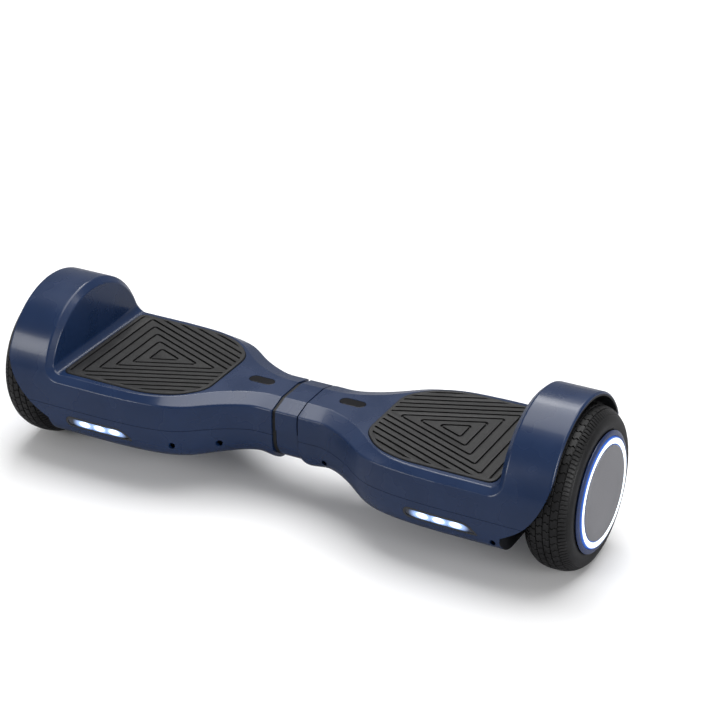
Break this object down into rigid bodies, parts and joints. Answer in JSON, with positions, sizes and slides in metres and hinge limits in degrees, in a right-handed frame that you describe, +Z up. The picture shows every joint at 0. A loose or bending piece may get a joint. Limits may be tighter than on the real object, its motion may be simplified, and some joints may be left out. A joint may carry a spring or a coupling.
{
  "type": "self balancing hoverboard",
  "caption": "Self balancing board with a hub motor wheel at each end, ribbed footpads and halves that twist about a centre pivot.",
  "frame": {"origin": "on the floor, midway between the two wheels", "axes": "+X along the axles to the rider's side with the charging socket, -Y the front with the headlights, +Z up"},
  "size_m": [0.623, 0.169, 0.1685],
  "materials": {
    "shell": "satin",
    "cast_frame": "as cast",
    "steel": "turned",
    "bolt_steel": "black oxide",
    "bearing_steel": "ground",
    "stator_iron": "laminated",
    "copper": "enamelled",
    "magnet": "plated",
    "hub_metal": "satin",
    "tyre": "matt",
    "rim_blue": "gloss",
    "light_white": "frosted",
    "disc_grey": "satin",
    "pad_rubber": "matt",
    "seal_rubber": "matt",
    "dark_trim": "satin",
    "dark_window": "gloss",
    "lens": "clear",
    "board": "solder mask",
    "bushing": "machined",
    "battery": "shrink wrap",
    "socket_metal": "plated",
    "button": "gloss"
  },
  "bodies": {
    "right_half": {"right_upper_shell": "shell", "right_lower_shell": "shell", "right_frame": "cast_frame", "right_axle_clamp": "steel", "right_clamp_bolts": "bolt_steel", "right_shell_screws": "bolt_steel", "right_axle": "steel", "right_stator": "stator_iron", "right_coils": "copper", "right_light_bezel": "dark_trim", "right_light_lens": "lens", "right_led_board": "board", "right_indicator_window": "dark_window", "right_sensor_board": "board", "center_shaft": "steel", "retaining_ring": "bearing_steel", "collar_upper": "shell", "collar_lower": "shell", "battery_pack": "battery", "rear_panel": "dark_trim", "charge_socket": "socket_metal"},
    "left_half": {"left_upper_shell": "shell", "left_lower_shell": "shell", "left_frame": "cast_frame", "left_axle_clamp": "steel", "left_clamp_bolts": "bolt_steel", "left_shell_screws": "bolt_steel", "left_axle": "steel", "left_stator": "stator_iron", "left_coils": "copper", "left_light_bezel": "dark_trim", "left_light_lens": "lens", "left_led_board": "board", "left_indicator_window": "dark_window", "left_sensor_board": "board", "pivot_bushings": "bushing", "center_seal": "seal_rubber", "main_board": "board"},
    "right_wheel": {"right_tyre": "tyre", "right_hub_shell": "hub_metal", "right_magnets": "magnet", "right_motor_cover": "hub_metal", "right_cover_screws": "bolt_steel", "right_wheel_bearings": "bearing_steel", "right_rim_ring": "rim_blue", "right_light_ring": "light_white", "right_hub_disc": "disc_grey"},
    "left_wheel": {"left_tyre": "tyre", "left_hub_shell": "hub_metal", "left_magnets": "magnet", "left_motor_cover": "hub_metal", "left_cover_screws": "bolt_steel", "left_wheel_bearings": "bearing_steel", "left_rim_ring": "rim_blue", "left_light_ring": "light_white", "left_hub_disc": "disc_grey"},
    "right_pad": {"right_footpad": "pad_rubber"},
    "left_pad": {"left_footpad": "pad_rubber"},
    "power_button": {"power_button": "button"},
    "charge_cap": {"charge_cap": "seal_rubber"}
  },
  "joints": [
    {"name": "half_twist", "type": "hinge", "parent": "right_half", "child": "left_half", "pos_m": [-0.05, 0, 0.078], "axis": [1, 0, 0], "range_deg": [-12, 12]},
    {"name": "right_wheel_spin", "type": "hinge", "parent": "right_half", "child": "right_wheel", "pos_m": [0.2835, 0, 0.078], "axis": [1, 0, 0], "continuous": true},
    {"name": "left_wheel_spin", "type": "hinge", "parent": "left_half", "child": "left_wheel", "pos_m": [-0.2835, 0, 0.078], "axis": [1, 0, 0], "continuous": true},
    {"name": "right_pad_press", "type": "slide", "parent": "right_half", "child": "right_pad", "axis": [0, 0, -1], "range_m": [0, 0.0015], "stiffness_N_per_m": 20000},
    {"name": "left_pad_press", "type": "slide", "parent": "left_half", "child": "left_pad", "axis": [0, 0, -1], "range_m": [0, 0.0015], "stiffness_N_per_m": 20000},
    {"name": "power_button_press", "type": "slide", "parent": "right_half", "child": "power_button", "axis": [0, -1, 0], "range_m": [0, 0.0012], "stiffness_N_per_m": 500},
    {"name": "charge_cap_hinge", "type": "hinge", "parent": "right_half", "child": "charge_cap", "pos_m": [0.192, 0.08115, 0.06], "axis": [0, 0, 1], "range_deg": [0, 110]}
  ]
}
